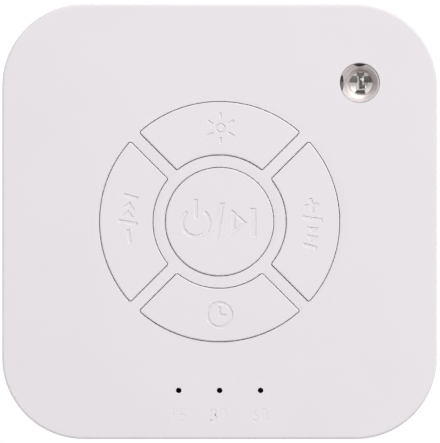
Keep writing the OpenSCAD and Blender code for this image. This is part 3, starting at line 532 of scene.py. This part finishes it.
epoxy = {"Base Color": (0.985, 0.99, 0.99, 1), "IOR": 1.5, "Transmission Weight": 1.0}
epoxySurface = {"grain": 1500, "rough": (0.0, 0.03)}


def makeClearEpoxy():
    tree, shader = newFinish("clearEpoxy")
    setSockets(shader, epoxy)
    varyRoughness(tree, shader, noiseOn(tree, epoxySurface["grain"]), *epoxySurface["rough"])


# a laminated pouch: crinkled foil with a band of amber tape at the lead end
foil = {"bare": (0.66, 0.67, 0.69), "tape": (0.62, 0.40, 0.08), "tapeX": -21.5 * mm, "creases": 260,
        "crinkles": 500, "detail": 4, "rough": (0.28, 0.42), "bump": 0.35, "depth": 0.06 * mm}


def makeFoil():
    s = foil
    tree, shader = newFinish("cellFoil")
    crease = mathOn(tree, "ADD", cellsOn(tree, s["creases"]), noiseOn(tree, s["crinkles"], s["detail"]))
    split = tree.nodes.new("ShaderNodeSeparateXYZ")
    tree.links.new(placeOf(tree), split.inputs["Vector"])
    taped = mathOn(tree, "LESS_THAN", split.outputs["X"], s["tapeX"])
    tint(tree, shader, taped, s["bare"], s["tape"], start=0.45, end=0.55)
    tree.links.new(mathOn(tree, "SUBTRACT", 1.0, taped), shader.inputs["Metallic"])
    varyRoughness(tree, shader, crease, *s["rough"])
    addBump(tree, shader, crease, s["bump"], s["depth"])


# white solder mask over fine copper runs, which show where both patterns pass their limits
board = {"mask": (0.78, 0.78, 0.76), "trace": (0.69, 0.71, 0.66), "runs": 0.9 * mm, "runsOver": 0.72,
         "areas": 130, "areasOver": 0.52, "grain": 2500, "rough": (0.25, 0.35), "bump": 0.5,
         "depth": 0.03 * mm}


def makeBoardFinish():
    s = board
    tree, shader = newFinish("solderMask")
    runs = mathOn(tree, "GREATER_THAN", wavesOn(tree, s["runs"], "DIAGONAL"), s["runsOver"])
    areas = mathOn(tree, "GREATER_THAN", noiseOn(tree, s["areas"], detail=1), s["areasOver"])
    traces = mathOn(tree, "MULTIPLY", runs, areas)
    tint(tree, shader, traces, s["mask"], s["trace"], start=0.2, end=0.8)
    varyRoughness(tree, shader, noiseOn(tree, s["grain"]), *s["rough"])
    addBump(tree, shader, traces, s["bump"], s["depth"])


winding = {"shade": (0.36, 0.13, 0.05), "copper": (0.72, 0.34, 0.15), "turn": 0.16 * mm, "metallic": 0.9,
           "rough": (0.2, 0.4), "bump": 0.8, "depth": 0.05 * mm}


def makeWinding():
    s = winding
    tree, shader = newFinish("copperWinding")
    shader.inputs["Metallic"].default_value = s["metallic"]
    turns = wavesOn(tree, s["turn"], "Z")
    tint(tree, shader, turns, s["shade"], s["copper"], start=0.1, end=0.7)
    varyRoughness(tree, shader, turns, *s["rough"])
    addBump(tree, shader, turns, s["bump"], s["depth"])


makeFoam()
makePaper()
makeClearEpoxy()
makeFoil()
makeBoardFinish()
makeWinding()
print("finishes made:", len(finishes))


# the two halves of the housing, each rim with the width of its rounding and its steps
# a hole's side reaches further down than holeDepth, which no sunk number does
housing = {"cornerAt": 29.4 * mm, "cornerR": 17.6 * mm, "seamTop": 12 * mm, "seamBase": 11.7 * mm,
           "holeDepth": 1.8 * mm, "openingRim": (0.12 * mm, 3), "lightRim": (0.2 * mm, 3),
           "timerRim": (0.08 * mm, 2), "socketRim": (0.15 * mm, 3), "seamRim": (0.2 * mm, 3),
           "undersideRim": (0.15 * mm, 2), "lightAt": Vector((30.3, 30.0)) * mm, "lightReach": 4.6 * mm,
           "timerY": -36.5 * mm, "timerReach": 0.8 * mm, "socketsAbove": 20 * mm,
           "numberDepth": 0.08 * mm,
           "numberSteps": ((0.04 * mm, 0.01 * mm), (0.05 * mm, 0.035 * mm), (0.04 * mm, 0.01 * mm))}


def onOutline(edge):
    # both ends lie on the housing's rounded-square outline
    s = housing
    for v in edge.verts:
        x = max(abs(v.co.x) - s["cornerAt"], 0)
        y = max(abs(v.co.y) - s["cornerAt"], 0)
        if abs(math.hypot(x, y) - s["cornerR"]) > near:
            return False
    return True


def dressUpperHousing():
    s = housing
    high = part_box("top_shell")[1]
    shell = weldedCopy("top_shell", "upper_housing")

    def through(edge):
        return isRim(edge, high.z) and lowest(edge) < high.z - s["holeDepth"]

    def atLight(edge):
        return (middle(edge).xy - s["lightAt"]).length < s["lightReach"]

    def atTimer(edge):
        return abs(middle(edge).y - s["timerY"]) < s["timerReach"]

    bevelRims(shell, s["lightRim"], lambda e: through(e) and atLight(e))
    bevelRims(shell, s["timerRim"], lambda e: through(e) and atTimer(e))
    bevelRims(shell, s["openingRim"], lambda e: through(e) and not atLight(e) and not atTimer(e))
    bevelRims(shell, s["socketRim"], lambda e: isRim(e, high.y, axis=1) and middle(e).z > s["socketsAbove"])
    bevelRims(shell, s["seamRim"], lambda e: isRim(e, s["seamTop"]) and onOutline(e))
    count = softSink(shell, high.z, s["numberDepth"], s["numberSteps"])
    print("numbers:", count, "floors")
    smoothOver(shell)
    finishPiece(shell, "housingPlastic", "housing", "housing", "top_shell")


def dressLowerHousing():
    s = housing
    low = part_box("base_cover")[0]
    cover = weldedCopy("base_cover", "lower_housing")
    count = bevelRims(cover, s["undersideRim"], lambda e: isRim(e, low.z))
    bevelRims(cover, s["seamRim"], lambda e: isRim(e, s["seamBase"]) and onOutline(e))
    print("underside rims:", count, "edges")
    smoothOver(cover)
    finishPiece(cover, "housingPlastic", "housing", "housing", "base_cover")


dressUpperHousing()
dressLowerHousing()
print("housing dressed")


# the five keys, whose sides reach further down than rimDrop, which no sunk symbol does
keys = {"rim": (0.3 * mm, 5), "rimDrop": 1 * mm, "symbolDepth": 0.12 * mm,
        "symbolSteps": ((0.05 * mm, 0.02 * mm), (0.07 * mm, 0.16 * mm), (0.05 * mm, 0.02 * mm)),
        "bodies": {"power": "power_button", "light": "light_button", "timer": "timer_button",
                   "previous": "previous_button", "next": "next_button"}}


def dressKey(place, body):
    s = keys
    node = place + "_key"
    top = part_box(node)[1].z
    key = weldedCopy(node, node + "_cap")
    bevelRims(key, s["rim"], lambda e: isRim(e, top) and lowest(e) < top - s["rimDrop"])
    softSink(key, top, s["symbolDepth"], s["symbolSteps"])
    smoothOver(key)
    finishPiece(key, "keyPlastic", "keycap", body, node)


for place, body in keys["bodies"].items():
    dressKey(place, body)
print("keys dressed")


# pieces that bend as a body moves
domes = {"bossR": 2.35 * mm, "footR": 3.9 * mm, "followed": 6 / 7}    # a key moves 0.1 mm before it presses
rings = {"surround": {"name": "cone_surround", "finish": "surroundRubber", "slot": "surround_rubber",
                      "movesTo": 17.4 * mm, "fixedFrom": 21.4 * mm},
         "spider": {"name": "cone_spider", "finish": "spiderCloth", "slot": "spider_cloth",
                    "movesTo": 6.7 * mm, "fixedFrom": 12.6 * mm}}


def setShares(piece, shareAt):
    # how much of the moving body's travel each point follows
    shares = piece.data.attributes["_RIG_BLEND"].data
    for vertex in piece.data.vertices:
        shares[vertex.index].value = shareAt(vertex.co)


def dressDome(place, body):
    s = domes
    node = place + "_dome"
    low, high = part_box(node)
    centre = boxMiddle(node)
    web = weldedCopy(node, place + "_button_web")
    smoothOver(web)
    finishPiece(web, "keypadSilicone", "silicone", None, node)
    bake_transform(web, "housing", body, start=(centre.x, centre.y, low.z), end=(centre.x, centre.y, high.z))

    def shareAt(point):
        outward = (point.xy - centre.xy).length - s["bossR"]
        return s["followed"] * (1 - ease(outward / (s["footR"] - s["bossR"])))

    setShares(web, shareAt)


def dressRing(node, name, finish, slot, movesTo, fixedFrom):
    low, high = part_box(node)
    ring = weldedCopy(node, name)
    smoothOver(ring, degrees=50)
    finishPiece(ring, finish, slot, None, node)
    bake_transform(ring, "housing", "speaker_driver", start=(0, 0, low.z), end=(0, 0, high.z))
    setShares(ring, lambda p: 1 - ease((p.xy.length - movesTo) / (fixedFrom - movesTo)))


for place, body in keys["bodies"].items():
    dressDome(place, body)
for node, facts in rings.items():
    dressRing(node, **facts)
print("webs and rings dressed")


# the night light: its bowl, the clear lamp, the cloudy resin at the lamp's foot and the lead frame
bowl = {"rim": (0.06 * mm, 2), "r": 4.22 * mm, "slack": 0.08 * mm, "notchBelow": 49.5 * mm,
        "notch": Vector((-7.44, 0)) * mm, "notchR": 4.06 * mm}    # the circle that cut the left-hand notch
lamp = {"r": 2.5 * mm, "flangeR": 2.9 * mm, "flangeH": 1 * mm, "lift": 0.02 * mm, "chamfer": 0.1 * mm,
        "domeSteps": 28, "turnSteps": 96}
milkyBase = {"r": 2.35 * mm, "foot": 0.3 * mm, "topZ": 45.2 * mm, "edge": 0.2 * mm}
# places, sizes and the bonds' rises are in mm, and places start from the lamp's middle
leads = {"leg": (0.5, 0.5), "bendZ": 43.9 * mm, "neckZ": 45.1 * mm, "headZ": 46.0 * mm, "edge": 0.05 * mm,
         # where each leg stands, where its head is and how big that head is
         "posts": {"left": ((-1.27, 0), (-0.78, 0.44), (0.66, 0.66)),
                   "right": ((1.27, 0), (0.74, 0.44), (0.74, 0.68)),
                   "middle": ((0, 0), (0.01, 0.25), (0.36, 1.60))},
         # the place and the size of each block
         "cross": ((-0.02, 0.99), (0.74, 0.13)),
         "heel": ((0.25, -0.31), (0.42, 0.37)),
         "reflector": ((-0.03, -1.08), (1.05, 0.52)),
         "reflectorZ": 45.8 * mm, "reflectorWall": 0.1 * mm, "reflectorSunk": 0.5 * mm,
         # each bond wire's start, middle and end
         "bonds": (((0.30, -0.30), (0.80, -0.10), (1.15, 0.25)),
                   ((0.0, 1.3), (-0.50, 1.35), (-0.80, 0.90)),
                   ((0.90, 0.3), (0.90, -0.50), (0.40, -1.05)),
                   ((-0.60, 0.3), (-0.80, -0.20), (-0.50, -0.95))),
         "bondRises": (0, 0.12, 0.22, 0.12, 0), "bondR": 0.035 * mm}


def inNotch(face):
    # the floor and the curved side of the left-hand notch
    s = bowl
    place = face.calc_center_median()
    fromCut = (place.xy - housing["lightAt"] - s["notch"]).length
    if place.z > s["notchBelow"] or fromCut > s["notchR"] + near:
        return False
    return facesUp(face) or (place.xy - housing["lightAt"]).length < s["r"] - s["slack"]


def dressBowl():
    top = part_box("light_cup")[1].z
    cup = weldedCopy("light_cup", "lamp_bowl")
    bevelRims(cup, bowl["rim"], lambda e: isRim(e, top))
    smoothOver(cup)
    finishPiece(cup, "cupPlastic", "light_cup", "housing", "light_cup")
    # the left-hand notch gets painted shade
    secondTone(cup, "notchPaintedShade", inNotch)


def makeLamp():
    s = lamp
    low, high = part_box("light_lens")
    foot = low.z + s["lift"]
    shoulder = low.z + s["flangeH"]
    outline = [(0, foot), (s["flangeR"], foot), (s["flangeR"], shoulder - s["chamfer"]),
               (s["flangeR"] - s["chamfer"], shoulder), (s["r"] + s["chamfer"], shoulder),
               (s["r"], shoulder + s["chamfer"])]
    for i in range(s["domeSteps"] + 1):
        angle = math.pi / 2 * i / s["domeSteps"]
        outline.append((s["r"] * math.cos(angle), high.z - s["r"] + s["r"] * math.sin(angle)))
    glass = spinShape("clear_lamp", outline, boxMiddle("light_lens"), s["turnSteps"])
    smoothOver(glass, degrees=40)
    glass.visible_shadow = False    # light goes straight through to the bowl and the leads
    finishPiece(glass, "clearEpoxy", "clear_epoxy", "housing", "light_lens")


def makeMilkyBase():
    s = milkyBase
    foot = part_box("light_lens")[0].z + s["foot"]
    outline = [(0, foot), (s["r"], foot), (s["r"], s["topZ"]), (0, s["topZ"])]
    base = spinShape("lamp_milky_base", outline, boxMiddle("light_lens"))
    addModifier(base, "BEVEL", width=s["edge"], segments=3, limit_method="ANGLE")
    smoothOver(base)
    # its finish carries a painted glow in place of the light that the dome gathers
    finishPiece(base, "milkyEpoxyPaintedGlow", "clear_epoxy", "housing")


def blockOn(name, centre, place, size, lowZ, highZ):
    x, y = centre.x + place[0] * mm, centre.y + place[1] * mm
    w, d = size[0] * mm / 2, size[1] * mm / 2
    return boxAt(name, Vector((x - w, y - d, lowZ)), Vector((x + w, y + d, highZ)))


def makePost(name, centre, foot, head, size, lowZ):
    # a square leg that cranks over to its flat head
    s = leads
    post = blockOn(name, centre, foot, s["leg"], lowZ, s["bendZ"])
    mesh = openMesh(post, "FACE")
    pick(post, mesh.faces, facesUp)
    step = Vector(((head[0] - foot[0]) * mm, (head[1] - foot[1]) * mm, s["neckZ"] - s["bendZ"]))
    bpy.ops.mesh.extrude_region_move(TRANSFORM_OT_translate={"value": step})
    pivot = (centre.x + head[0] * mm, centre.y + head[1] * mm, s["neckZ"])
    spread = (size[0] / s["leg"][0], size[1] / s["leg"][1], 1)
    bpy.ops.transform.resize(value=spread, center_override=pivot)
    bpy.ops.mesh.extrude_region_move(TRANSFORM_OT_translate={"value": (0, 0, s["headZ"] - s["neckZ"])})
    closeMesh()
    return post


def makeBond(centre, points):
    # a hair-thin wire in a low arch between two heads
    s = leads
    bpy.ops.curve.primitive_nurbs_path_add(location=(0, 0, 0))
    bond = bpy.context.object
    bond.name = "bond"
    path = bond.data.splines[0]
    route = [points[0], points[0], points[1], points[2], points[2]]
    for point, (x, y), rise in zip(path.points, route, s["bondRises"]):
        point.co = (centre.x + x * mm, centre.y + y * mm, s["headZ"] + rise * mm, 1)
    bond.data.bevel_depth = s["bondR"]
    bond.data.bevel_resolution = 1
    bond.data.use_fill_caps = True
    onlyActive(bond)
    bpy.ops.object.convert(target="MESH")
    return bpy.context.object


def makeReflector(centre):
    # the small trough that throws light back down
    s = leads
    trough = blockOn("reflector", centre, *s["reflector"], s["bendZ"], s["reflectorZ"])
    mesh = openMesh(trough, "FACE")
    pick(trough, mesh.faces, facesUp)
    bpy.ops.mesh.inset(thickness=s["reflectorWall"], depth=0)
    bpy.ops.transform.translate(value=(0, 0, -s["reflectorSunk"]))
    closeMesh()
    return trough


def makeLeads():
    s = leads
    centre = boxMiddle("light_lens")
    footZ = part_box("light_leads")[0].z
    parts = [makePost(name, centre, *facts, footZ) for name, facts in s["posts"].items()]
    parts += [blockOn(name, centre, *s[name], s["neckZ"], s["headZ"]) for name in ("cross", "heel")]
    parts.append(makeReflector(centre))
    frameWork = joinAll(parts, "lamp_leads")
    addModifier(frameWork, "BEVEL", width=s["edge"], segments=2, limit_method="ANGLE")
    bonds = [makeBond(centre, points) for points in s["bonds"]]
    frameWork = joinAll([frameWork] + bonds, "lamp_leads")
    openMesh(frameWork, "VERT")
    bpy.ops.mesh.select_all(action="SELECT")
    bpy.ops.mesh.remove_doubles(threshold=weld)
    closeMesh()
    smoothOver(frameWork)
    finishPiece(frameWork, "leadTin", "tinned", "housing", "light_leads")


dressBowl()
makeLamp()
makeMilkyBase()
makeLeads()
print("night light dressed")


# inner pieces that only need softer edges
# node: name of the piece, its finish, the record's slot and the width of its rounded edges in mm
softened = {
    "keypad_mat": ("button_mat", "keypadSilicone", "silicone", 0.12),
    "timer_lamps": ("timer_lamp_chips", "lampPhosphor", "lamp", 0.06),
    "timer_baffle": ("timer_light_block", "blackFoam", "black_foam", 0.2),
    "sound_chip": ("sound_chip_body", "chipEpoxy", "chip", 0.05),
    "memory_chip": ("memory_chip_body", "chipEpoxy", "chip", 0.05),
    "amplifier_chip": ("amplifier_chip_body", "chipEpoxy", "chip", 0.05),
    "board_components": ("board_parts", "ceramicTan", "components", 0.06),
    "usb_socket": ("charging_port", "tinPlate", "tinned", 0.05),
    "headphone_jack": ("headphone_port", "blackPlastic", "black_plastic", 0.15),
    "battery_cell": ("battery_pouch", "cellFoil", "cell_foil", 0.7),
    "lead_sockets": ("lead_headers", "nylonWhite", "white_nylon", 0.15),
    "battery_plug": ("battery_connector", "nylonWhite", "white_nylon", 0.25),
    "speaker_plug": ("speaker_connector", "nylonWhite", "white_nylon", 0.25),
    "speaker_frame": ("speaker_basket", "powderCoat", "speaker_steel", 0.15),
    "speaker_front_plate": ("speaker_top_plate", "zincSteel", "steel", 0.25),
    "speaker_magnet": ("speaker_ring_magnet", "ferriteGrey", "ferrite", 0.4),
    "speaker_yoke": ("speaker_back_plate", "zincSteel", "steel", 0.25),
    "speaker_terminals": ("speaker_tag_strip", "phenolicSheet", "phenolic", 0.1),
    "speaker_gasket": ("speaker_foam_ring", "blackFoam", "black_foam", 0.15),
    "battery_tape": ("battery_foam_pad", "blackFoam", "black_foam", 0.2),
}
drivenBySpeaker = {
    "voice_coil": ("coil_winding", "copperWinding", "copper", 0.05),
    "speaker_cone": ("paper_cone", "conePaper", "cone_paper", 0.1),
    "dust_cap": ("cone_dust_cap", "conePaper", "cone_paper", 0.08),
}
chips = {"bodyHalf": 2.02 * mm, "names": ("sound_chip", "memory_chip", "amplifier_chip")}
# the choke on the board is dark, and the two cans have metal sleeves
components = {"chokeX": -13 * mm, "chokeHalf": 3.1 * mm, "chokeFromY": 20 * mm,
              "cansAt": (Vector((20, -26)) * mm, Vector((26, -26)) * mm), "canR": 2.6 * mm}
timerLamps = {"bodyH": 0.4 * mm, "upright": 0.5}    # a side's normal leans less than this


def soften(node, name, finish, slot, width, body="housing"):
    piece = weldedCopy(node, name)
    addModifier(piece, "BEVEL", width=width * mm, segments=2, limit_method="ANGLE",
                angle_limit=math.radians(35))
    smoothOver(piece)
    finishPiece(piece, finish, slot, body, node)
    return piece


def toneChip(node):
    # the legs that stand out from the chip's body are bright
    rowY = boxMiddle(node).y
    secondTone(dressed[node], "tinPlate",
               lambda f: abs(f.calc_center_median().y - rowY) > chips["bodyHalf"])


def isChoke(face):
    s = components
    place = face.calc_center_median()
    return place.y > s["chokeFromY"] and abs(place.x - s["chokeX"]) < s["chokeHalf"]


def isCan(face):
    place = face.calc_center_median().xy
    return any((place - can).length < components["canR"] for can in components["cansAt"])


def isLampBody(face):
    # the upright sides at the foot of the small lamps
    s = timerLamps
    bottom = min(v.co.z for v in face.verts)
    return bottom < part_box("timer_lamps")[0].z + s["bodyH"] and abs(face.normal.z) < s["upright"]


dressed = {node: soften(node, *facts) for node, facts in softened.items()}
for node in chips["names"]:
    toneChip(node)
secondTone(dressed["board_components"], "ferriteGrey", isChoke)
secondTone(dressed["board_components"], "canSleeve", isCan)
secondTone(dressed["timer_lamps"], "nylonWhite", isLampBody)
for node, facts in drivenBySpeaker.items():
    soften(node, *facts, body="speaker_driver")
print("inner pieces dressed")


# screws, whose heads are at their upper or lower ends, and the four feet
screws = {"housing_screws": {"name": "case_screws", "headsUp": False, "rim": (0.15 * mm, 2)},
          "board_screws": {"name": "board_fixing_screws", "headsUp": False, "rim": (0.1 * mm, 2)},
          "speaker_screws": {"name": "speaker_fixing_screws", "headsUp": True, "rim": (0.1 * mm, 2)}}
feet = {"names": ("front_left", "front_right", "rear_left", "rear_right"), "edge": 0.5 * mm,
        "edgeSteps": 5, "topEdge": 0.15 * mm, "grooveOut": 4.1 * mm, "grooveIn": 3.3 * mm,
        "grooveDepth": 0.25 * mm, "grooveSide": 0.2 * mm}


def dressScrews(node, name, headsUp, rim):
    low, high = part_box(node)
    face = high.z if headsUp else low.z
    piece = weldedCopy(node, name)
    bevelRims(piece, rim, lambda e: isRim(e, face))
    smoothOver(piece, degrees=30)
    finishPiece(piece, "zincSteel", "steel", "housing", node)


def makeFoot(place):
    # a round pad with a ring pressed into its underside
    s = feet
    node = place + "_foot"
    low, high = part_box(node)
    r = (high.x - low.x) / 2
    grooveZ = low.z + s["grooveDepth"]
    outline = [(0, low.z), (s["grooveIn"], low.z), (s["grooveIn"] + s["grooveSide"], grooveZ),
               (s["grooveOut"] - s["grooveSide"], grooveZ), (s["grooveOut"], low.z)]
    for i in range(s["edgeSteps"] + 1):
        angle = math.pi / 2 * i / s["edgeSteps"]
        outline.append((r - s["edge"] * (1 - math.sin(angle)), low.z + s["edge"] * (1 - math.cos(angle))))
    outline += [(r, high.z - s["topEdge"]), (r - s["topEdge"], high.z), (0, high.z)]
    foot = spinShape(place + "_pad", outline, boxMiddle(node))
    smoothOver(foot)
    finishPiece(foot, "footRubber", "foot_rubber", "housing", node)


for node, facts in screws.items():
    dressScrews(node, **facts)
for place in feet["names"]:
    makeFoot(place)
print("screws and feet dressed")


# the row of flat springs under the charging socket's tongue
contacts = {"count": 5, "pitch": 0.65 * mm, "width": 0.38 * mm, "length": 3.2 * mm, "thickness": 0.08 * mm,
            "setBack": 0.35 * mm, "tip": 0.064 * mm}


def makeContacts():
    s = contacts
    low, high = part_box("usb_tongue")
    left = boxMiddle("usb_tongue").x - s["pitch"] * (s["count"] - 1) / 2 - s["width"] / 2
    front = high.y - s["setBack"]
    under = low.z - s["thickness"]
    strip = boxAt("charging_contacts", Vector((left, front - s["length"], under)),
                  Vector((left + s["width"], front, low.z)))
    mesh = openMesh(strip, "EDGE")
    pick(strip, mesh.edges, lambda e: isAt(e, 1, front) and isAt(e, 2, under))
    bpy.ops.mesh.bevel(offset=s["tip"], segments=3, affect="EDGES")
    closeMesh()
    addModifier(strip, "ARRAY", count=s["count"], use_relative_offset=False, use_constant_offset=True,
                constant_offset_displace=(s["pitch"], 0, 0))
    smoothOver(strip)
    finishPiece(strip, "goldPlate", "gold", "housing")


makeContacts()
print("socket contacts made")


# wires, with the record's slot for each finish
wires = {"battery_lead_red": "redSleeve", "battery_lead_black": "blackSleeve",
         "speaker_lead_red": "redSleeve", "speaker_lead_black": "blackSleeve"}
sleeveSlots = {"redSleeve": "red_wire", "blackSleeve": "black_wire"}


def dressWire(node, finish):
    wire = weldedCopy(node, node + "_sleeve", flatten=False)
    addModifier(wire, "SUBSURF", levels=1, render_levels=1)
    smoothOver(wire, degrees=50)
    finishPiece(wire, finish, sleeveSlots[finish], "housing", node)


for node, finish in wires.items():
    dressWire(node, finish)
print("wires dressed")

# pieces that keep their own shape
kept = {"main_board": "solderMask", "key_contacts": "goldPlate", "usb_tongue": "blackPlastic",
        "jack_terminals": "tinPlate", "dust_screen": "screenCloth"}
for node, finish in kept.items():
    nodes[node].material_slots[0].material = finishes[finish]
print("kept pieces painted")
